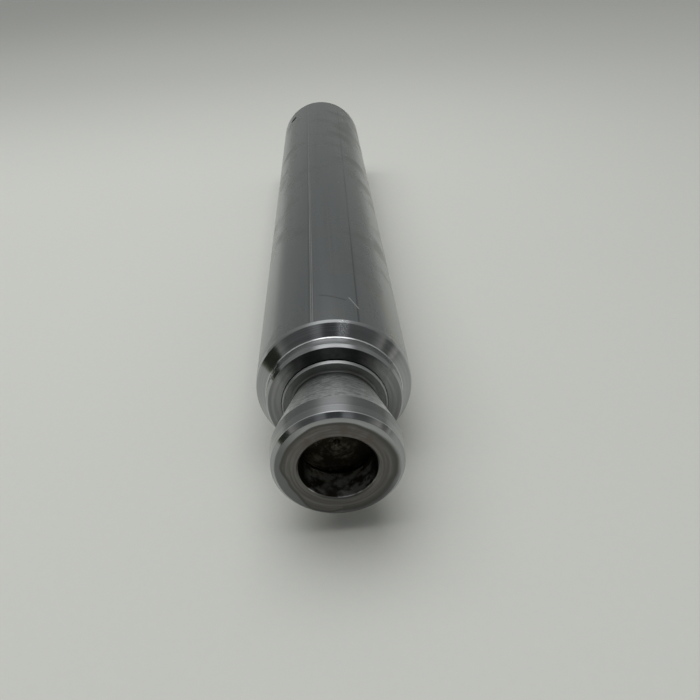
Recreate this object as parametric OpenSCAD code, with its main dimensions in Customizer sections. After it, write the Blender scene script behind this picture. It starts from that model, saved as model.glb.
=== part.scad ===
// Telescopic hydraulic cylinder with two moving stages, closed and lying on its side.
// Every piece is turned about one axis. A station is a distance along that axis from the rear
// face towards the head. The rear face is at the origin, and the head points along -Y.

/* [Barrel] */
// Outside diameter of the barrel tube
barrel_d = 70; // [70:0.5:76]
// Length of the barrel at full diameter, from the rear face to the nose
barrel_len = 410; // [300:5:600]
// Bore of the barrel tube
barrel_bore_d = 63; // [62.9:0.1:63.2]
// Length of the thick-walled mouth that holds the seals
mouth_len = 50; // [50:1:70]
// How far the bevelled nose of the barrel reaches past the full diameter
barrel_nose = 6.8; // [6:0.1:8]

/* [Stage 1] */
// Outside diameter of the stage 1 tube
stage_d = 60; // [59.6:0.1:60.2]
// Bore of the stage 1 tube
stage_bore_d = 50; // [49.8:0.1:50.2]
// How far the stage 1 nose stands out of the barrel when closed
stage_nose = 5.9; // [4:0.1:8]

/* [Plunger] */
// Outside diameter of the plunger
plunger_d = 46; // [45.8:0.1:46.1]
// Bore of the plunger tube
plunger_bore_d = 30; // [28:1:31]

/* [Head] */
// Diameter of the head at its back edge
head_d = 53.4; // [51:0.1:56]
// Diameter that the neck narrows to
waist_d = 37; // [36:0.5:39]
// Distance from the stage 1 nose to the face of the head
head_reach = 40.95; // [40:0.5:50]
// Bore of the socket in the head
socket_d = 31; // [28:0.5:32]
// Depth of the socket
socket_depth = 16; // [12:0.5:17]

/* [Port] */
// Diameter of the tapped hole of the oil port
port_d = 7.0; // [6:0.1:9]
// Station of the oil port
port_station = 21; // [21:0.5:24]
// Angle of the oil port from the top, towards -X
port_angle = 42.5; // [0:0.5:90]

/* [Hidden] */

// Radial clearances: between running surfaces, between pieces screwed or fitted together,
// and between surfaces that never touch
run = 0.05;
fit = 0.05;
gap = 0.3;
// Gap left between two end faces when a stage is fully closed
rest_gap = 0.3;

// Radii
r_barrel = barrel_d / 2;
r_bore = barrel_bore_d / 2;
r_stage = stage_d / 2;
r_stage_bore = stage_bore_d / 2;
r_plunger = plunger_d / 2;
r_plunger_bore = plunger_bore_d / 2;
r_head = head_d / 2;
r_waist = waist_d / 2;
r_socket = socket_d / 2;

// Rear end cap
cap_thread_r = r_bore + 1.1;
cap_thread_len = 34;
cap_nose_len = 10;
cap_len = cap_thread_len + cap_nose_len;
cap_edge = 0.8;
spanner_pitch_r = 22;
port_floor_r = 22;
spanner_r = 4;
spanner_depth = 9;
gallery_r = 4;
feed_r = 3;
o_ring_r = 1.5;
o_ring_groove = 3.8;
o_ring_depth = 2.3;

// Barrel nose, from the full diameter to the lip of the mouth
mouth = barrel_len + barrel_nose;
mouth_clear = 0.1;
land_len = 1.8;
land_drop = 0.35;
lip_len = 0.5;
lip_rise = 0.3;

// Barrel glands, as distances back from the mouth
mouth_land = 8;
wiper_w = 6;
wiper_depth = 2.9;
seal_at = 18;
seal_w = 7;
backup_w = 2;
seal_depth = 3.1;
guide_at = 31;
guide_w = 13;
ring_t = 2;
ring_side = 0.1;
split_w = 2.5;

// Wear ring of the stage 1 foot
wear_t = 2.5;
wear_w = 10;
wear_at = 4;

// Stage 1 foot
foot_flange = 18;
foot_spigot = 16;
foot_r = r_bore - 0.4;
foot_hole_r = 18;
spigot_r = r_stage - 2.5;
foot_s = cap_len + rest_gap;
stage_s = foot_s + foot_flange;
step_clear = 0.2;

// Stage 1 gland: a flange that forms the nose, and a spigot screwed into the tube
nose_s = mouth + stage_nose;
flange_len = 13.7;
gland_s = nose_s - flange_len;
gland_spigot = 32;
nose_bevel_len = 1.6;
nose_bevel_drop = 0.93;

// Stage 1 glands, as distances back from the nose
lip_land = 3.7;
s_wiper_w = 5.5;
s_wiper_depth = 2.7;
s_seal_at = 14.7;
s_seal_w = 6;
s_seal_depth = 2.7;
s_guide_at = 27.5;
s_guide_w = 11;
s_ring_t = 2;
s_o_ring_at = 40;

// Plunger foot
p_foot_s = stage_s + foot_spigot + rest_gap;
p_foot_flange = 18;
p_foot_spigot = 18;
p_foot_r = r_stage_bore - 0.35;
p_tube_s = p_foot_s + p_foot_flange;
p_hole_r = 5;

// Plunger head
head_s = nose_s - 24;
head_spigot = 22;
head_face = nose_s + head_reach;
shoulder_len = 0.5;
shoulder_bevel_len = 1.3;
shoulder_bevel_drop = 0.6;
shoulder_s = nose_s + shoulder_len + shoulder_bevel_len;
drum_len = 8.8;
drum_drop = 0.6;
front_bevel = 1.75;
crown_h = 0.45;
crown_w = 2.85;
throat_r = 1.0;
mouth_bevel = 0.7;
centre_mark_r = 1.5;

// Set screws that lock the two feet on their threads
screw_r = 2.45;
screw_hole_r = 2.5;
hex_flats = 2.5;
hex_depth = 2.5;
stage_screw_s = stage_s + foot_spigot / 2;
plunger_screw_s = p_tube_s + p_foot_spigot / 2;

$fn = 96;

// ---- Helpers ----

// Turns an outline about the cylinder's axis. The outline's x is radius and its y is station.
module turned() {
    rotate([90, 0, 0]) rotate_extrude($fn = 180) children();
}

// A rectangle of the outline: radii r0 to r1, stations s0 to s1
module band(r0, r1, s0, s1) {
    translate([r0, s0]) square([r1 - r0, s1 - s0]);
}

// Places a child that stands along +Z so that it points outward at a station and an angle
module radial(station, angle) {
    translate([0, -station, 0]) rotate([0, -angle, 0]) children();
}

// Cuts the slit of a split ring, at an angle from the top
module split(r, s0, s1, angle) {
    radial((s0 + s1) / 2, angle)
        translate([-split_w / 2, -(s1 - s0) / 2 - 1, 0])
            cube([split_w, s1 - s0 + 2, r + 1]);
}

// A bearing ring that fills its groove and leaves a running clearance on its working side
module split_ring(r0, r1, s0, s1, angle) {
    difference() {
        turned() band(r0, r1, s0, s1);
        split(r1, s0, s1, angle);
    }
}

// An O-ring of section radius rs, flattened where it is squeezed between radii r0 and r1
module o_ring(r0, r1, station, rs) {
    turned() intersection() {
        translate([(r0 + r1) / 2, station]) circle(rs, $fn = 48);
        band(r0, r1, station - rs, station + rs);
    }
}

// A U-cup seal: a heel towards the mouth and two lips that open towards the pressure side
module u_cup(r0, r1, s0, s1) {
    mid = (r0 + r1) / 2;
    third = (r1 - r0) / 3;
    depth = (s1 - s0) * 0.55;
    lip = (r1 - r0) * 0.12;
    turned() polygon([[r0 + lip, s0], [r0, s0 + lip * 2], [r0, s1], [r1, s1],
        [r1, s0 + lip * 2], [r1 - lip, s0], [mid + third * 0.7, s0],
        [mid + third * 0.25, s0 + depth], [mid - third * 0.25, s0 + depth],
        [mid - third * 0.7, s0]]);
}

// A wiper: a ring held in its groove, with a sharp lip that leans out towards the mouth
module wiper_ring(r0, r1, s0, s1) {
    body_r = r0 + (r1 - r0) * 0.35;
    shelf = (s1 - s0) * 0.55;
    turned() polygon([[body_r, s0], [r1, s0], [r1, s1], [body_r + 0.5, s1],
        [body_r + 0.1, s0 + shelf], [r0 + 0.35, s1], [r0, s1 - 0.2],
        [body_r - 0.4, s0 + shelf * 0.5]]);
}

// A set screw with a hexagon socket, standing out to radius r1
module set_screw(station, angle, r0, r1) {
    radial(station, angle) difference() {
        translate([0, 0, r0]) cylinder(r = screw_r, h = r1 - r0);
        translate([0, 0, r1 - hex_depth])
            cylinder(d = hex_flats * 2 / sqrt(3), h = hex_depth + 1, $fn = 6);
    }
}

// ---- Barrel ----

module barrel_tube() {
    color("slategray") difference() {
        turned() difference() {
            polygon([[0, 0], [r_barrel, 0], [r_barrel, barrel_len],
                [r_barrel - land_drop, barrel_len + land_len],
                [r_stage + mouth_clear + lip_rise, mouth - lip_len],
                [r_stage + mouth_clear, mouth], [0, mouth]]);
            barrel_bore();
        }
        port_hole();
    }
}

// Everything that is bored out of the barrel
module barrel_bore() {
    wiper_s = mouth - mouth_land - wiper_w;
    seal_s = mouth - seal_at - seal_w;
    guide_s = mouth - guide_at - guide_w;
    r_mouth = r_stage + gap;
    band(-1, cap_thread_r + fit, -1, cap_thread_len);
    polygon([[0, -1], [cap_thread_r + fit + cap_edge + 1, -1], [cap_thread_r + fit, cap_edge],
        [0, cap_edge]]);
    band(-1, r_bore, cap_thread_len - 1, mouth - mouth_len);
    band(-1, r_mouth, mouth - mouth_len - 1, mouth - mouth_land);
    band(-1, r_stage + mouth_clear, mouth - mouth_land - 1, mouth + 1);
    band(r_stage, r_stage + wiper_depth, wiper_s, wiper_s + wiper_w);
    band(r_stage, r_stage + seal_depth, seal_s, seal_s + seal_w + backup_w);
    band(r_stage, r_stage + ring_t + run + fit, guide_s, guide_s + guide_w);
}

// The tapped hole of the oil port, through the barrel wall and into the end cap
module port_hole() {
    radial(port_station, port_angle)
        translate([0, 0, port_floor_r]) cylinder(d = port_d, h = r_barrel);
}

module rear_end_cap() {
    o_s = cap_thread_len + cap_nose_len / 2 - o_ring_groove / 2;
    color("gainsboro") difference() {
        turned() difference() {
            polygon([[0, 0], [cap_thread_r - cap_edge, 0], [cap_thread_r, cap_edge],
                [cap_thread_r, cap_thread_len], [r_bore - fit, cap_thread_len],
                [r_bore - fit, cap_len - 1], [r_bore - fit - 1, cap_len], [0, cap_len]]);
            band(r_bore - o_ring_depth, r_bore + 1, o_s, o_s + o_ring_groove);
            band(-1, gallery_r, port_station - gallery_r - 1, cap_len + 1);
        }
        port_hole();
        radial(port_station, port_angle) cylinder(r = feed_r, h = r_bore);
        for (side = [-1, 1])
            translate([side * spanner_pitch_r, -spanner_depth, 0])
                rotate([-90, 0, 0]) cylinder(r = spanner_r, h = spanner_depth + 1);
    }
}

module end_cap_o_ring() {
    color("black") o_ring(r_bore - o_ring_depth + 0.02, r_bore - 0.02,
        cap_thread_len + cap_nose_len / 2, o_ring_r);
}

module barrel_wiper() {
    s0 = mouth - mouth_land - wiper_w;
    color("darkgreen") wiper_ring(r_stage + run, r_stage + wiper_depth - fit,
        s0 + ring_side, s0 + wiper_w - ring_side);
}

module barrel_rod_seal() {
    s0 = mouth - seal_at - seal_w;
    color("darkred") u_cup(r_stage + run, r_stage + seal_depth - fit, s0 + ring_side, s0 + seal_w);
}

module barrel_backup_ring() {
    s0 = mouth - seal_at;
    color("ivory") split_ring(r_stage + run, r_stage + seal_depth - fit,
        s0 + ring_side, s0 + backup_w - ring_side, 120);
}

module barrel_guide_ring() {
    s0 = mouth - guide_at - guide_w;
    color("peru") split_ring(r_stage + run, r_stage + ring_t + run,
        s0 + ring_side, s0 + guide_w - ring_side, 200);
}

// ---- Stage 1 ----

module stage_1_tube() {
    front = gland_s - gland_spigot - step_clear;
    color("lightsteelblue") difference() {
        turned() difference() {
            band(0, r_stage, stage_s, gland_s);
            band(-1, r_stage_bore, stage_s - 1, gland_s + 1);
            band(-1, spigot_r + fit, stage_s - 1, stage_s + foot_spigot + step_clear);
            band(-1, spigot_r + fit, front, gland_s + 1);
        }
        screw_hole(stage_screw_s, 0, r_stage_bore);
    }
}

// A tapped hole for a set screw, from radius r0 outwards
module screw_hole(station, angle, r0) {
    radial(station, angle) translate([0, 0, r0]) cylinder(r = screw_hole_r, h = r_barrel);
}

module stage_1_foot() {
    groove_s = foot_s + wear_at;
    color("silver") difference() {
        turned() difference() {
            union() {
                band(0, foot_r, foot_s, stage_s);
                band(0, spigot_r, stage_s - 1, stage_s + foot_spigot);
            }
            band(-1, foot_hole_r, foot_s - 1, p_foot_s);
            band(r_bore - wear_t - 2 * run, r_bore, groove_s, groove_s + wear_w + 2 * ring_side);
        }
        screw_hole(stage_screw_s, 0, spigot_r - 5);
    }
}

module stage_1_foot_lock_screw() {
    color("dimgray") set_screw(stage_screw_s, 0, spigot_r - 4.8, r_stage - 0.4);
}

module stage_1_wear_ring() {
    s0 = foot_s + wear_at + ring_side;
    color("peru") split_ring(r_bore - run - wear_t, r_bore - run, s0, s0 + wear_w, 180);
}

module stage_1_gland() {
    o_s = nose_s - s_o_ring_at;
    color("silver") turned() difference() {
        polygon([[0, gland_s - gland_spigot], [spigot_r, gland_s - gland_spigot],
            [spigot_r, gland_s], [r_stage, gland_s], [r_stage, nose_s - nose_bevel_len],
            [r_stage - nose_bevel_drop, nose_s], [0, nose_s]]);
        band(-1, r_plunger + gap, 0, nose_s + 1);
        stage_1_groove(lip_land + s_wiper_w, s_wiper_w, s_wiper_depth);
        stage_1_groove(s_seal_at + s_seal_w + backup_w, s_seal_w + backup_w, s_seal_depth);
        stage_1_groove(s_guide_at + s_guide_w, s_guide_w, s_ring_t + run + fit);
        band(spigot_r - o_ring_depth, r_stage, o_s - o_ring_groove, o_s);
    }
}

// A groove in the bore of the stage 1 gland that begins a distance back from the nose
module stage_1_groove(back, width, depth) {
    band(r_plunger, r_plunger + depth, nose_s - back, nose_s - back + width);
}

module stage_1_gland_o_ring() {
    color("black") o_ring(spigot_r - o_ring_depth + 0.02, spigot_r + fit - 0.02,
        nose_s - s_o_ring_at - o_ring_groove / 2, o_ring_r);
}

module stage_1_wiper() {
    s0 = nose_s - lip_land - s_wiper_w;
    color("darkgreen") wiper_ring(r_plunger + run, r_plunger + s_wiper_depth - fit,
        s0 + ring_side, s0 + s_wiper_w - ring_side);
}

module stage_1_rod_seal() {
    s0 = nose_s - s_seal_at - s_seal_w - backup_w;
    color("darkred") u_cup(r_plunger + run, r_plunger + s_seal_depth - fit,
        s0 + ring_side, s0 + s_seal_w);
}

module stage_1_backup_ring() {
    s0 = nose_s - s_seal_at - backup_w;
    color("ivory") split_ring(r_plunger + run, r_plunger + s_seal_depth - fit,
        s0 + ring_side, s0 + backup_w - ring_side, 60);
}

module stage_1_guide_ring() {
    s0 = nose_s - s_guide_at - s_guide_w;
    color("peru") split_ring(r_plunger + run, r_plunger + s_ring_t + run,
        s0 + ring_side, s0 + s_guide_w - ring_side, 320);
}

// ---- Plunger ----

module plunger_tube() {
    color("lightgray") difference() {
        turned() difference() {
            band(0, r_plunger, p_tube_s, head_s);
            band(-1, r_plunger_bore, p_tube_s - 1, head_s + 1);
        }
        screw_hole(plunger_screw_s, 90, r_plunger_bore - 1);
    }
}

module plunger_foot() {
    groove_s = p_foot_s + wear_at;
    color("silver") difference() {
        turned() difference() {
            union() {
                band(0, p_foot_r, p_foot_s, p_tube_s);
                band(0, r_plunger_bore - fit, p_tube_s - 1, p_tube_s + p_foot_spigot);
            }
            band(-1, p_hole_r, p_foot_s - 1, p_tube_s + p_foot_spigot + 1);
            band(r_stage_bore - wear_t - 2 * run, r_stage_bore,
                groove_s, groove_s + wear_w + 2 * ring_side);
        }
        screw_hole(plunger_screw_s, 90, r_plunger_bore - 5);
    }
}

module plunger_foot_lock_screw() {
    color("dimgray") set_screw(plunger_screw_s, 90, r_plunger_bore - 4.8, r_plunger - 0.5);
}

module plunger_wear_ring() {
    s0 = p_foot_s + wear_at + ring_side;
    color("peru") split_ring(r_stage_bore - run - wear_t, r_stage_bore - run, s0, s0 + wear_w, 0);
}

// The head: a shoulder at plunger diameter, a conical neck, a drum and a socketed face
module plunger_head() {
    drum_back = head_face - drum_len - front_bevel - crown_h;
    drum_front = head_face - front_bevel - crown_h;
    taper = atan((r_head - r_waist) / (drum_back - shoulder_s - throat_r));
    root_r = r_head - (drum_back - shoulder_s) * tan(taper);
    o_s = head_s - head_spigot + 4;
    color("silver") turned() difference() {
        union() {
            polygon([[0, head_s - head_spigot], [r_plunger_bore - fit, head_s - head_spigot],
                [r_plunger_bore - fit, head_s], [r_plunger, head_s],
                [r_plunger, shoulder_s - shoulder_bevel_len],
                [r_plunger - shoulder_bevel_drop, shoulder_s], [root_r, shoulder_s],
                [r_head, drum_back], [r_head - drum_drop, drum_front],
                [r_head - drum_drop - front_bevel, drum_front + front_bevel],
                [0, drum_front + front_bevel]]);
            throat(root_r, shoulder_s, taper);
            crown(r_head - drum_drop - front_bevel);
        }
        band(-1, r_socket, head_face - socket_depth, head_face + 1);
        polygon([[0, head_face - mouth_bevel], [r_socket, head_face - mouth_bevel],
            [r_socket + mouth_bevel + 1, head_face + 1], [0, head_face + 1]]);
        polygon([[0, head_face - socket_depth - centre_mark_r],
            [centre_mark_r, head_face - socket_depth], [0, head_face - socket_depth + 1]]);
        band(r_plunger_bore - o_ring_depth, r_plunger, o_s, o_s + o_ring_groove);
    }
}

// The hollow curve where the conical neck meets the shoulder, tangent to both
module throat(root_r, station, taper) {
    centre_r = root_r + throat_r * (tan(taper) + 1 / cos(taper));
    centre_s = station + throat_r;
    difference() {
        polygon([[root_r - 1, station - 0.5], [centre_r, station - 0.5], [centre_r, station],
            [centre_r - throat_r * cos(taper), centre_s + throat_r * sin(taper)],
            [root_r, station]]);
        translate([centre_r, centre_s]) circle(throat_r, $fn = 96);
        band(0, r_head, station - 1, station);
    }
}

// The slightly domed rim of the face, tangent to the flat face
module crown(rim_r) {
    sphere_r = (crown_w * crown_w + crown_h * crown_h) / (2 * crown_h);
    band(0, rim_r - crown_w, head_face - crown_h - 1, head_face);
    intersection() {
        translate([rim_r - crown_w, head_face - sphere_r]) circle(sphere_r, $fn = 180);
        band(rim_r - crown_w, rim_r, head_face - crown_h, head_face);
    }
}

module plunger_head_o_ring() {
    color("black") o_ring(r_plunger_bore - o_ring_depth + 0.02, r_plunger_bore - 0.02,
        head_s - head_spigot + 4 + o_ring_groove / 2, o_ring_r);
}

barrel_tube();
rear_end_cap();
end_cap_o_ring();
barrel_wiper();
barrel_rod_seal();
barrel_backup_ring();
barrel_guide_ring();
stage_1_tube();
stage_1_foot();
stage_1_foot_lock_screw();
stage_1_wear_ring();
stage_1_gland();
stage_1_gland_o_ring();
stage_1_wiper();
stage_1_rod_seal();
stage_1_backup_ring();
stage_1_guide_ring();
plunger_tube();
plunger_foot();
plunger_foot_lock_screw();
plunger_wear_ring();
plunger_head();
plunger_head_o_ring();
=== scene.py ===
"""Looks of a two-stage telescopic hydraulic cylinder that lies closed on a pale table.

The CAD nodes keep their shapes. This script gives each of them a procedural material, and adds
the table, the light and the camera. Every piece is turned about the Y axis, so the materials
work in cylinder coordinates: azimuth, in degrees from the top towards +X; radius; and station,
the distance from the rear face towards the head. Both lengths are in millimetres.
"""

import math

import bpy
from mathutils import Matrix, Vector


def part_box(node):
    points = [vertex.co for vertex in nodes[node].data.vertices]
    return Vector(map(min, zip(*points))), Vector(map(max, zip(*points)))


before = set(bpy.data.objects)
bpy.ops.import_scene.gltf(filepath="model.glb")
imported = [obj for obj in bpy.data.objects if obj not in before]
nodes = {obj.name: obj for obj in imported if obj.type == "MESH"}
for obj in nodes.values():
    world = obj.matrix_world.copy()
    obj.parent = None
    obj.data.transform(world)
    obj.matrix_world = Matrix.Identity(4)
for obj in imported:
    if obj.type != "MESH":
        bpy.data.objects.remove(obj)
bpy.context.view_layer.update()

MM = 1000
TURNED_LIGHT = (0.42, 0.43, 0.435)
TURNED_DARK = (0.32, 0.325, 0.33)

# Scratches near the barrel's mouth: azimuth, station, slant from the axis, length and width
BRIGHT_NICKS = (
    (20.2, 393.5, 26, 8.5, 0.3),
    (18.9, 392.0, 31, 5.0, 0.2),
)
DARK_NICK = (4.5, 389.5, 66, 12.0, 0.5)
BARREL_NOSE = 6.8

# Places on the head, as distances back from its face in millimetres
CROWN_BACK = 0.45
BEVEL_BACK = 2.2
DRUM_STEP_BACK = 6.4
DRUM_BACK = 11.0
SOCKET_BACK = 16.0
ROOT_BACK = 38.6
SHOULDER_BACK = 39.15
PLUNGER_BACK = 40.45
SOCKET_R = 15.5

# What the mirror-like metal shows of the room, each laid over the ones before it: side from
# the front towards +X, elevation, half angle, soft edge, all in degrees, and radiance
SEEN_IN_METAL = (
    (180, 57, 8, 22, (0.95, 0.96, 0.96)),  # far end of the long ceiling lamp
    (180, 74, 10, 24, (1.15, 1.16, 1.17)),  # its middle
    (0, 84, 6, 22, (1.25, 1.26, 1.27)),  # its near end
    (75, 76, 6, 18, (1.10, 1.11, 1.12)),  # its right side
    (0, 47, 20, 8, (0.26, 0.27, 0.28)),  # the wall in front
    (0, 55, 10, 3, (0.07, 0.075, 0.08)),  # the dark onlooker in front
    (-75, 8, 11, 3, (0.03, 0.033, 0.025)),  # dark thing at the left
    (-103, 3, 10, 4, (0.04, 0.043, 0.035)),  # the rest of it, farther back
    (71, 11, 5, 5, (0.11, 0.115, 0.11)),  # dim thing at the right
)


def top_of(node):
    """Largest radius of a turned node, in metres."""
    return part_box(node)[1].z


def front_of(node):
    """Largest station of a node, in millimetres."""
    return -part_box(node)[0].y * MM


barrel_r = top_of("barrel_tube")
head_face = front_of("plunger_head")
mouth = front_of("barrel_tube")
nose_face = front_of("stage_1_gland")
barrel_end = mouth - BARREL_NOSE


# ---------------------------------------------------------------- nodes of a material


class Graph:
    """A node tree with short calls for what the materials use."""

    def __init__(self, tree):
        self.tree = tree
        tree.nodes.clear()

    def add(self, kind, **settings):
        node = self.tree.nodes.new(kind)
        for name, value in settings.items():
            setattr(node, name, value)
        return node

    def plug(self, socket, value):
        if isinstance(value, bpy.types.NodeSocket):
            self.tree.links.new(value, socket)
        else:
            socket.default_value = value

    def math(self, operation, *values, clamp=False):
        node = self.add("ShaderNodeMath", operation=operation, use_clamp=clamp)
        for socket, value in zip(node.inputs, values):
            self.plug(socket, value)
        return node.outputs[0]

    def plus(self, a, b):
        return self.math("ADD", a, b)

    def minus(self, a, b):
        return self.math("SUBTRACT", a, b)

    def times(self, a, b):
        return self.math("MULTIPLY", a, b)

    def vector(self, x, y, z):
        node = self.add("ShaderNodeCombineXYZ")
        for socket, value in zip(node.inputs, (x, y, z)):
            self.plug(socket, value)
        return node.outputs[0]

    def noise(self, vector, detail=2.0, roughness=0.5):
        """Noise of about 0 to 1 whose grains are one unit of vector in size."""
        node = self.add("ShaderNodeTexNoise", noise_dimensions="3D")
        self.plug(node.inputs["Vector"], vector)
        self.plug(node.inputs["Scale"], 1.0)
        self.plug(node.inputs["Detail"], detail)
        self.plug(node.inputs["Roughness"], roughness)
        return node.outputs["Fac"]

    def ease(self, value, low, high, to_low=0.0, to_high=1.0):
        """A smooth step from to_low, at value low, to to_high, at value high."""
        node = self.add("ShaderNodeMapRange", interpolation_type="SMOOTHSTEP")
        for socket, number in zip(node.inputs, (value, low, high, to_low, to_high)):
            self.plug(socket, number)
        return node.outputs["Result"]

    def band(self, value, centre, half, soft):
        """1 within half of centre, and 0 from half plus soft outwards."""
        away = self.math("ABSOLUTE", self.minus(value, centre))
        return self.ease(away, half, self.plus(half, soft), 1.0, 0.0)

    def mix(self, factor, a, b):
        """Colour a where factor is 0 and colour b where it is 1."""
        node = self.add("ShaderNodeMix", data_type="RGBA")
        self.plug(node.inputs["Factor"], factor)
        for name, value in (("A", a), ("B", b)):
            socket = next(s for s in node.inputs if s.name == name and s.type == "RGBA")
            self.plug(socket, (*value, 1) if isinstance(value, tuple) else value)
        return next(s for s in node.outputs if s.type == "RGBA")

    def between(self, factor, a, b):
        """Number a where factor is 0 and number b where it is 1."""
        return self.plus(self.times(self.minus(b, a), factor), a)

    def split(self, vector):
        node = self.add("ShaderNodeSeparateXYZ")
        self.plug(node.inputs[0], vector)
        return node.outputs[:]


class Finish(Graph):
    """One material on the Principled shader, with the cylinder coordinates of the point."""

    def __init__(self, name, metallic, anisotropy=0.0, along_profile=False, **constants):
        self.material = bpy.data.materials.get(name) or bpy.data.materials.new(name)
        self.material.use_nodes = True
        super().__init__(self.material.node_tree)
        self.shader = self.add("ShaderNodeBsdfPrincipled")
        end = self.add("ShaderNodeOutputMaterial")
        self.plug(end.inputs["Surface"], self.shader.outputs[0])
        self.set(Metallic=metallic, **constants)
        if anisotropy:
            tangent = self.add("ShaderNodeTangent", direction_type="RADIAL", axis="Y")
            self.plug(self.shader.inputs["Tangent"], tangent.outputs[0])
            quarter = 0.25 if along_profile else 0.0
            self.plug(self.shader.inputs["Anisotropic"], anisotropy)
            self.plug(self.shader.inputs["Anisotropic Rotation"], quarter)
        place = self.add("ShaderNodeTexCoord").outputs["Object"]
        scaled = self.add("ShaderNodeVectorMath", operation="SCALE")
        self.plug(scaled.inputs[0], place)
        self.plug(scaled.inputs["Scale"], float(MM))
        self.place = scaled.outputs[0]
        self.x, y, self.z = self.split(self.place)
        self.station = self.times(y, -1.0)
        squares = self.plus(self.times(self.x, self.x), self.times(self.z, self.z))
        self.radius = self.math("SQRT", squares)
        self.azimuth = self.math("DEGREES", self.math("ARCTAN2", self.x, self.z))
        self.across = self.math("DIVIDE", self.x, self.radius)
        self.up = self.math("DIVIDE", self.z, self.radius)
        self.profile = self.minus(self.station, self.radius)

    def set(self, **values):
        """Sets shader inputs; an underscore stands for a space in the name."""
        for name, value in values.items():
            self.plug(self.shader.inputs[name.replace("_", " ")], value)

    def round_marks(self, width, turns=1.0, detail=2.0, roughness=0.55):
        """Tool marks that run round the axis: width across, and longer with fewer turns."""
        along = self.math("DIVIDE", self.profile, width)
        return self.noise(
            self.vector(along, self.times(self.across, turns), self.times(self.up, turns)),
            detail, roughness)

    def draw_lines(self, width, length, detail=2.0, roughness=0.6):
        """Marks that run along the axis, width millimetres across on the barrel."""
        count = barrel_r * MM / width
        along = self.math("DIVIDE", self.station, length)
        return self.noise(
            self.vector(self.times(self.across, count), self.times(self.up, count), along),
            detail, roughness)

    def clouds(self, size, detail=3.0, roughness=0.55):
        """Patches of about size millimetres."""
        scaled = self.add("ShaderNodeVectorMath", operation="SCALE")
        self.plug(scaled.inputs[0], self.place)
        self.plug(scaled.inputs["Scale"], 1.0 / size)
        return self.noise(scaled.outputs[0], detail, roughness)

    def slanted(self, slant, azimuth=0.0, station=0.0):
        """Millimetres across and along a line on the barrel that slants from its axis."""
        arc = self.times(self.minus(self.azimuth, azimuth), math.radians(1) * barrel_r * MM)
        ahead = self.minus(self.station, station)
        c, s = math.cos(math.radians(slant)), math.sin(math.radians(slant))
        across = self.minus(self.times(arc, c), self.times(ahead, s))
        along = self.plus(self.times(ahead, c), self.times(arc, s))
        return across, along

    def relief(self, height, depth):
        """Bump from a height of 0 to 1 that stands for depth millimetres."""
        node = self.add("ShaderNodeBump")
        self.plug(node.inputs["Strength"], 1.0)
        self.plug(node.inputs["Distance"], depth / MM)
        self.plug(node.inputs["Height"], height)
        self.plug(self.shader.inputs["Normal"], node.outputs[0])


# ---------------------------------------------------------------- materials


def scratch(g, azimuth, station, slant, length, width):
    """Mask of one straight scratch on the barrel; slant is its angle from the axis."""
    across, along = g.slanted(slant, azimuth, station)
    return g.times(g.band(along, 0, length / 2, 1.0), g.band(across, 0, width / 2, width))


def rub_lines(g, back, worn):
    """Masks of the two bright rub lines left of the top and of the shade beside them."""
    azimuth = g.minus(g.azimuth, g.times(back, -0.013))
    first = g.band(azimuth, -11.4, 0.14, 0.22)
    second = g.times(g.band(azimuth, -10.1, 0.10, 0.22), g.ease(back, 250, 60))
    bright = g.times(g.math("MAXIMUM", first, second), g.between(worn, 0.5, 0.9))
    bright = g.times(bright, g.ease(back, 330, 150, 0.5, 1.0))
    shade = g.times(g.band(azimuth, -12.6, 0.5, 0.8), 0.35)
    return bright, shade


def tube_nose(g):
    """Colour and tool marks of the turned nose of the barrel, with its lip painted bright, most at the
    top: a painted highlight.
    """
    marks = g.round_marks(0.55, 0.8)
    colour = g.mix(g.ease(marks, 0.3, 0.7), TURNED_DARK, TURNED_LIGHT)
    chatter = g.noise(g.vector(g.times(g.azimuth, 0.9), g.times(g.profile, 2.2), 0.0), 2.0)
    chatter = g.times(g.ease(chatter, 0.48, 0.66), g.band(g.azimuth, 11.5, 2.5, 3))
    colour = g.mix(chatter, colour, (0.80, 0.81, 0.82))
    # Painted highlight: the lip is painted near-white, strongest towards the top.
    lip_highlight = g.ease(g.station, mouth - 0.55, mouth - 0.45)
    lip_highlight = g.times(lip_highlight, g.ease(g.up, 0.5, 0.95, 0.35, 1.0))
    return g.mix(lip_highlight, colour, (0.92, 0.93, 0.93)), marks


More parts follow.
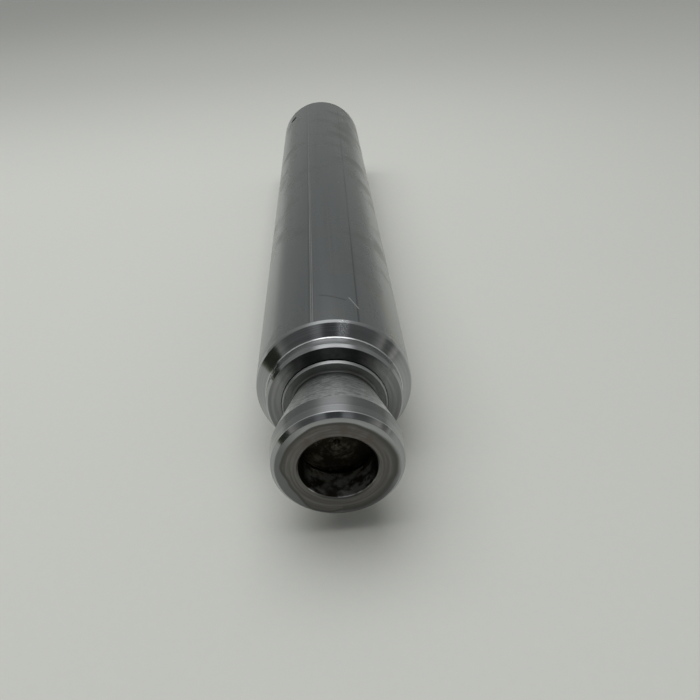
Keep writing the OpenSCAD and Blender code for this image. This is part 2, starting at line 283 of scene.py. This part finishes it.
def drawn_tube():
    """Cold-drawn barrel: lengthwise lines, rub lines, a dark line, scratches and smudges."""
    g = Finish("drawn_tube", metallic=1.0, anisotropy=0.45)
    lines = g.draw_lines(0.5, 90)
    broad = g.draw_lines(5.0, 160)
    colour = g.mix(g.ease(lines, 0.25, 0.75), (0.235, 0.245, 0.248), (0.285, 0.295, 0.30))
    colour = g.mix(g.ease(broad, 0.3, 0.7), colour, (0.27, 0.285, 0.292))
    smudge = g.ease(g.clouds(30, 4), 0.50, 0.68)
    colour = g.mix(g.times(smudge, 0.5), colour, (0.22, 0.22, 0.21))
    across, along = g.slanted(24)
    smear = g.noise(g.vector(g.times(across, 1 / 9), g.times(along, 1 / 34), 0.0), 3.0, 0.6)
    smear = g.times(g.ease(smear, 0.50, 0.66), g.ease(g.azimuth, 22, 58))
    colour = g.mix(g.times(smear, 0.65), colour, (0.30, 0.275, 0.235))
    back = g.minus(barrel_end, g.station)
    worn = g.ease(g.draw_lines(3.0, 60), 0.35, 0.6)
    rub, shade = rub_lines(g, back, worn)
    seam = g.band(g.minus(g.azimuth, g.times(back, 0.018)), 22.4, 0.25, 0.8)
    dark = g.math("MAXIMUM", shade, g.times(seam, g.between(worn, 0.35, 0.75)))
    dark = g.math("MAXIMUM", dark, g.times(scratch(g, *DARK_NICK), 0.6))
    colour = g.mix(dark, colour, (0.13, 0.135, 0.14))
    bright = rub
    for nick in BRIGHT_NICKS:
        bright = g.math("MAXIMUM", bright, scratch(g, *nick))
    colour = g.mix(bright, colour, (0.62, 0.63, 0.64))
    nose_colour, nose_marks = tube_nose(g)
    on_tube = g.ease(g.station, barrel_end - 0.1, barrel_end - 0.6)
    g.set(Base_Color=g.mix(on_tube, nose_colour, colour))
    rough = g.between(rub, g.between(smudge, 0.26, 0.36), 0.30)
    g.set(Roughness=g.between(on_tube, 0.12, rough))
    height = g.plus(g.times(lines, 0.5), g.times(broad, 0.5))
    g.relief(g.between(on_tube, nose_marks, height), 0.016)
    return g.material


def turned(name, light, dark):
    """Lathe-turned steel with fine circular marks: its graph, colour and fine marks."""
    g = Finish(name, metallic=1.0, anisotropy=0.4, along_profile=True)
    fine = g.round_marks(0.35, 1.2)
    coarse = g.round_marks(1.6, 0.8)
    colour = g.mix(g.ease(fine, 0.3, 0.7), dark, light)
    colour = g.mix(g.times(g.ease(coarse, 0.35, 0.7), 0.35), colour, dark)
    return g, colour, fine, coarse


def turned_steel():
    """The other turned pieces; the face of the stage 1 gland is duller than the rest, and painted
    near-black towards its top as a painted dark reflection of the neck.
    """
    g, colour, fine, coarse = turned("turned_steel", TURNED_LIGHT, TURNED_DARK)
    face = g.ease(g.station, nose_face - 0.15, nose_face - 0.05)
    dull = g.mix(g.ease(coarse, 0.35, 0.7), (0.20, 0.205, 0.205), (0.28, 0.285, 0.285))
    # Painted dark reflection: the top of the gland face is painted near-black, where it mirrors the
    # neck.
    dull = g.mix(g.ease(g.up, 0.55, 0.95), dull, (0.05, 0.053, 0.053))
    g.set(Base_Color=g.mix(face, colour, dull))
    g.set(Roughness=g.between(face, g.between(fine, 0.09, 0.16), 0.14))
    g.relief(g.plus(g.times(fine, 0.5), g.times(coarse, 0.5)), 0.012)
    return g.material


def neck_colours(g, back, grain, ground):
    """Brushed neck painted darker towards its root as painted shade, with a dark ring of painted shade
    at the root, the shoulder's edge, and the ground plunger.
    """
    colour = g.mix(g.ease(grain, 0.36, 0.64), (0.34, 0.35, 0.35), (0.92, 0.93, 0.93))
    # Painted shade: a darker copy of the grain, blended in towards the root of the neck.
    root_shade_grain = g.mix(g.ease(grain, 0.3, 0.7), (0.16, 0.17, 0.165), (0.40, 0.41, 0.40))
    colour = g.mix(g.ease(back, 32, 38.5), colour, root_shade_grain)
    # Painted shade: a dark ring in the crease at the root of the neck.
    colour = g.mix(g.band(back, ROOT_BACK, 0.4, 0.4), colour, (0.12, 0.125, 0.12))
    on_edge = g.ease(back, SHOULDER_BACK + 0.05, SHOULDER_BACK + 0.15)
    colour = g.mix(on_edge, colour, (0.68, 0.69, 0.69))
    return g.mix(ground, colour, (0.70, 0.705, 0.71))


def drum_colours(g, back, drum, colour):
    """Dulls the drum, more so behind its step; paints its sides and underside darker as painted shade;
    and paints its front edge bright, most at the top, as a painted highlight.
    """
    dull = g.ease(back, DRUM_STEP_BACK + 0.2, DRUM_STEP_BACK - 0.2, 0.65, 0.35)
    colour = g.mix(g.times(drum, dull), colour, (0.17, 0.175, 0.175))
    # Painted shade: the drum's sides and underside are darker.
    sides = g.times(drum, g.ease(g.up, 0.35, -0.1, 0.0, 0.45))
    colour = g.mix(sides, colour, (0.16, 0.165, 0.165))
    # Painted highlight: the front edge is painted bright, strongest at the top.
    edge = g.times(g.band(back, BEVEL_BACK + 0.2, 0.22, 0.1), g.ease(g.up, 0.5, 0.95, 0.25, 1.0))
    return g.mix(edge, colour, (0.62, 0.63, 0.63))


def face_colours(g, sway):
    """Dull face with fine rings and a little rust, inside a wavy ring painted dark as a painted
    reflection, and a rim painted pale at its top and right side as a painted highlight.
    """
    # Painted reflection: a dark wavy ring round the face, wider to the right and at the lower left.
    ring_r = g.ease(sway, 0.3, 0.7, 21.6, 22.4)
    ring_r = g.minus(ring_r, g.times(g.band(g.azimuth, -112, 8, 26), 2.2))
    ring_r = g.plus(ring_r, g.times(g.band(g.azimuth, -158, 6, 20), 1.6))
    off_ring = g.minus(g.radius, ring_r)
    width = g.ease(g.azimuth, 10, 80, 0.9, 2.2)
    rings = g.ease(g.round_marks(0.9, 0.7, 3.0), 0.35, 0.65)
    colour = g.mix(rings, (0.11, 0.105, 0.099), (0.165, 0.16, 0.151))
    rust = g.times(g.ease(g.up, 0.3, 0.9), g.ease(g.clouds(5), 0.35, 0.65))
    colour = g.mix(rust, colour, (0.115, 0.098, 0.088))
    colour = g.mix(g.ease(off_ring, g.times(width, -1.3), -0.1), colour, (0.09, 0.088, 0.084))
    # Painted highlight: the rim is painted paler at its top and right side.
    highlight_side = g.times(g.ease(g.azimuth, -65, -20), g.ease(g.azimuth, 130, 80))
    rim = g.mix(highlight_side, (0.17, 0.175, 0.175), (0.37, 0.38, 0.38))
    return g.mix(g.ease(off_ring, 0.2, width), colour, rim)


def socket_colours(g, back, sway):
    """Dark bottom with round tool marks and lighter patches, painted darker towards +X as painted
    shade; patchy wall, painted near-black except along its lowest part as painted shade; and a crease
    between them painted black as painted shade.
    """
    oil = g.ease(g.clouds(4.5, 3), 0.38, 0.62)
    swirl = g.ease(g.round_marks(1.3, 2.2, 3.0), 0.35, 0.7)
    bottom = g.mix(g.times(oil, swirl), (0.018, 0.015, 0.010), (0.12, 0.108, 0.085))
    # Painted shade: the bottom is darker towards +X.
    bottom = g.mix(g.ease(g.x, 3, 10), bottom, (0.012, 0.011, 0.008))
    wall = g.mix(oil, (0.12, 0.11, 0.09), (0.80, 0.81, 0.80))
    # Painted shade: the wall is near-black except along its lowest part.
    wall = g.mix(g.ease(g.up, -0.75, -0.35), wall, (0.03, 0.028, 0.022))
    colour = g.mix(g.ease(back, SOCKET_BACK - 0.6, SOCKET_BACK - 0.1), wall, bottom)
    # Painted shade: a black crease where the wall meets the bottom.
    crease = g.band(g.plus(back, g.times(sway, 2.0)), SOCKET_BACK - 0.4, 0.5, 0.8)
    return g.mix(crease, colour, (0.02, 0.018, 0.014))


def head_steel():
    """The head: brushed neck, turned drum and bevel, dull face, and a dark socket, with painted shade,
    highlights and reflections in its colours.
    """
    g, colour, fine, coarse = turned("turned_steel_head", TURNED_LIGHT, TURNED_DARK)
    back = g.minus(head_face, g.station)
    crown = g.ease(back, CROWN_BACK + 0.45, CROWN_BACK - 0.1)
    neck = g.ease(back, DRUM_BACK - 0.2, DRUM_BACK + 0.4)
    drum = g.times(g.ease(back, BEVEL_BACK - 0.1, BEVEL_BACK + 0.2), g.minus(1.0, neck))
    ground = g.ease(back, PLUNGER_BACK + 0.1, PLUNGER_BACK + 0.2)
    inside = g.ease(g.radius, SOCKET_R + 0.25, SOCKET_R)
    inside = g.times(inside, g.ease(back, SOCKET_BACK + 8, SOCKET_BACK + 2))
    brushed = g.round_marks(0.45, 5.0, 3.0, 0.7)
    hairs = g.round_marks(0.22, 11.0, 2.0, 0.6)
    grain = g.plus(g.times(brushed, 0.6), g.times(hairs, 0.4))
    sway = g.noise(g.vector(g.times(g.across, 1.7), g.times(g.up, 1.7), 2.6), 1.0)
    colour = g.mix(neck, colour, neck_colours(g, back, grain, ground))
    colour = drum_colours(g, back, drum, colour)
    colour = g.mix(crown, colour, face_colours(g, sway))
    g.set(Base_Color=g.mix(inside, colour, socket_colours(g, back, sway)))
    rough = g.between(fine, 0.10, 0.17)
    rough = g.between(drum, rough, 0.20)
    rough = g.between(crown, rough, 0.30)
    rough = g.between(neck, rough, g.between(grain, 0.34, 0.44))
    rough = g.between(ground, rough, 0.14)
    g.set(Roughness=g.between(inside, rough, 0.40))
    height = g.plus(g.times(fine, 0.5), g.times(coarse, 0.5))
    rougher = g.minus(g.math("MAXIMUM", neck, inside), ground)
    g.relief(g.between(rougher, height, g.times(grain, 2.5)), 0.012)
    return g.material


def hard_chrome():
    """Ground and polished chrome on the sliding tubes."""
    g = Finish("hard_chrome", metallic=1.0, anisotropy=0.35, along_profile=True)
    fine = g.round_marks(0.25, 2.0)
    film = g.clouds(30, 3)
    colour = g.mix(g.ease(film, 0.3, 0.7), (0.66, 0.67, 0.68), (0.74, 0.745, 0.75))
    g.set(Base_Color=colour)
    g.set(Roughness=g.plus(g.between(fine, 0.10, 0.16), g.ease(film, 0.5, 0.8, 0.0, 0.06)))
    g.relief(fine, 0.004)
    return g.material


def black_oxide():
    g = Finish("black_oxide", metallic=1.0)
    grain = g.clouds(0.6, 3)
    g.set(Base_Color=g.mix(grain, (0.03, 0.03, 0.034), (0.075, 0.075, 0.08)))
    g.set(Roughness=g.between(grain, 0.35, 0.55))
    g.relief(grain, 0.01)
    return g.material


def moulded(name, dark, light, rough, grain_size, depth):
    """Rubber or plastic with moulding grain, round flow marks and a little oil."""
    g = Finish(name, metallic=0.0)
    grain = g.clouds(grain_size, 3)
    flow = g.round_marks(0.8, 3.0)
    oil = g.ease(g.clouds(9, 2), 0.5, 0.7)
    tone = g.plus(g.times(grain, 0.6), g.times(flow, 0.4))
    g.set(Base_Color=g.mix(g.ease(tone, 0.3, 0.7), dark, light))
    g.set(Roughness=g.between(oil, rough, rough * 0.55))
    g.relief(tone, depth)
    return g.material


def guide_phenolic():
    """Phenolic strip with the weave of its cloth showing."""
    g = Finish("guide_phenolic", metallic=0.0)
    thread = 0.9
    round_way = g.times(g.azimuth, math.radians(1) * barrel_r * MM / thread)
    along_way = g.math("DIVIDE", g.station, thread)
    ways = [g.math("SINE", g.times(way, math.pi)) for way in (round_way, along_way)]
    weave = g.ease(g.times(*ways), -0.6, 0.6)
    tone = g.plus(g.times(weave, 0.6), g.times(g.clouds(2.5), 0.4))
    g.set(Base_Color=g.mix(tone, (0.30, 0.16, 0.07), (0.52, 0.32, 0.16)))
    g.set(Roughness=g.between(tone, 0.5, 0.38))
    g.relief(weave, 0.02)
    return g.material


drawn_tube()
turned_steel()
nodes["plunger_head"].material_slots[0].material = head_steel()
hard_chrome()
black_oxide()
guide_phenolic()
moulded("black_rubber", (0.012, 0.012, 0.012), (0.035, 0.034, 0.033), 0.55, 0.7, 0.015)
moulded("seal_polyurethane", (0.25, 0.025, 0.02), (0.42, 0.06, 0.045), 0.38, 1.2, 0.008)
moulded("wiper_polyurethane", (0.02, 0.13, 0.07), (0.05, 0.24, 0.13), 0.38, 1.2, 0.008)
moulded("backup_plastic", (0.62, 0.58, 0.47), (0.80, 0.77, 0.67), 0.45, 1.6, 0.008)


# ---------------------------------------------------------------- table and light


TABLE_REACH = 7.0
LAMP_PLACE = (-0.38, -0.02, 1.35)
LAMP_SIZE = (2.0, 1.35)
LAMP_RADIANCE = 1.55

def table():
    """The pale table, far larger than the view; painted darker far off and to the right as painted
    shade, and olive at the far left, where only the bevels of the steel see it."""
    signs = ((-1, -1), (1, -1), (1, 1), (-1, 1))
    corners = [(sx * TABLE_REACH, sy * TABLE_REACH, -barrel_r) for sx, sy in signs]
    mesh = bpy.data.meshes.new("table")
    mesh.from_pydata(corners, [], [(0, 1, 2, 3)])
    top = bpy.data.objects.new("table", mesh)
    bpy.context.scene.collection.objects.link(top)
    g = Finish("table_paper", metallic=0.0)
    tone = g.plus(g.times(g.clouds(260, 2), 0.6), g.times(g.clouds(3, 2), 0.4))
    paper = g.mix(tone, (0.595, 0.60, 0.56), (0.64, 0.645, 0.605))
    # Painted shade: the table is darker far off.
    paper = g.mix(g.ease(g.station, 60, -700), paper, (0.50, 0.505, 0.475))
    # Painted shade: the table is darker to the right.
    paper = g.mix(g.times(g.ease(g.x, 20, 600), 0.6), paper, (0.47, 0.475, 0.445))
    far_left = g.times(g.ease(g.x, -720, -800), g.ease(g.station, -150, 50))
    paper = g.mix(far_left, paper, (0.09, 0.11, 0.04))
    g.set(Base_Color=paper, Roughness=0.75)
    mesh.materials.append(g.material)


def ceiling_lamp():
    """A wide soft lamp that faces down. Metal doesn't mirror it: it sees the world's lamp,
    whose edges are soft."""
    light = bpy.data.lights.new("ceiling", "AREA")
    light.shape = "RECTANGLE"
    light.size, light.size_y = LAMP_SIZE
    light.energy = LAMP_RADIANCE * math.pi * light.size * light.size_y
    lamp = bpy.data.objects.new("ceiling", light)
    lamp.location = LAMP_PLACE
    lamp.visible_glossy = False
    bpy.context.scene.collection.objects.link(lamp)


def towards(side, elevation):
    """Unit vector: side is degrees from the front (-Y) towards +X."""
    side, elevation = math.radians(side), math.radians(elevation)
    flat = math.cos(elevation)
    return (math.sin(side) * flat, -math.cos(side) * flat, math.sin(elevation))


def surroundings():
    """The room: pale above, dim in front, with the lamp and the dark things that metal sees."""
    world = bpy.data.worlds.new("room")
    world.use_nodes = True
    bpy.context.scene.world = world
    g = Graph(world.node_tree)
    way = g.add("ShaderNodeTexCoord").outputs["Generated"]
    _, y, z = g.split(way)
    elevation = g.math("DEGREES", g.math("ARCSINE", z))
    behind = g.mix(g.ease(elevation, 8, 22), (0.30, 0.31, 0.295), (0.27, 0.28, 0.275))
    behind = g.mix(g.ease(elevation, 22, 45), behind, (0.36, 0.37, 0.365))
    front = g.mix(g.ease(elevation, 10, 34), (0.46, 0.46, 0.43), (0.12, 0.125, 0.125))
    colour = g.mix(g.ease(y, -0.30, 0.15), front, behind)
    for side, height, half, soft, tint in SEEN_IN_METAL:
        dot = g.add("ShaderNodeVectorMath", operation="DOT_PRODUCT")
        g.plug(dot.inputs[0], way)
        g.plug(dot.inputs[1], towards(side, height))
        away = g.math("DEGREES", g.math("ARCCOSINE", dot.outputs["Value"]))
        colour = g.mix(g.ease(away, half, half + soft, 1.0, 0.0), colour, tint)
    seen = g.mix(g.add("ShaderNodeLightPath").outputs["Is Camera Ray"], colour, (0.33, 0.335, 0.32))
    glow = g.add("ShaderNodeBackground")
    g.plug(glow.inputs["Color"], seen)
    g.plug(glow.inputs["Strength"], 1.0)
    end = g.add("ShaderNodeOutputWorld")
    g.plug(end.inputs["Surface"], glow.outputs[0])


table()
ceiling_lamp()
surroundings()


# ---------------------------------------------------------------- camera


def camera():
    """Looks down at the head from in front, and a little turned about its own line of sight."""
    pitch, yaw, roll = (math.radians(angle) for angle in (32.81, 0.17, -4.95))
    ahead = Vector((math.sin(yaw) * math.cos(pitch), math.cos(yaw) * math.cos(pitch), -math.sin(pitch)))
    level = Vector((math.cos(yaw), -math.sin(yaw), 0))
    above = level.cross(ahead)
    right = math.cos(roll) * level + math.sin(roll) * above
    up = math.cos(roll) * above - math.sin(roll) * level
    eye = Matrix((right, up, -ahead)).transposed().to_4x4()
    eye.translation = (0.0078, -0.6514, 0.1745)
    data = bpy.data.cameras.new("camera")
    data.sensor_width = 36.0
    data.lens = 33.94
    view = bpy.data.objects.new("camera", data)
    view.matrix_world = eye
    bpy.context.scene.collection.objects.link(view)
    bpy.context.scene.camera = view


camera()
bpy.context.scene.view_settings.view_transform = "Standard"
bpy.context.scene.view_settings.look = "None"
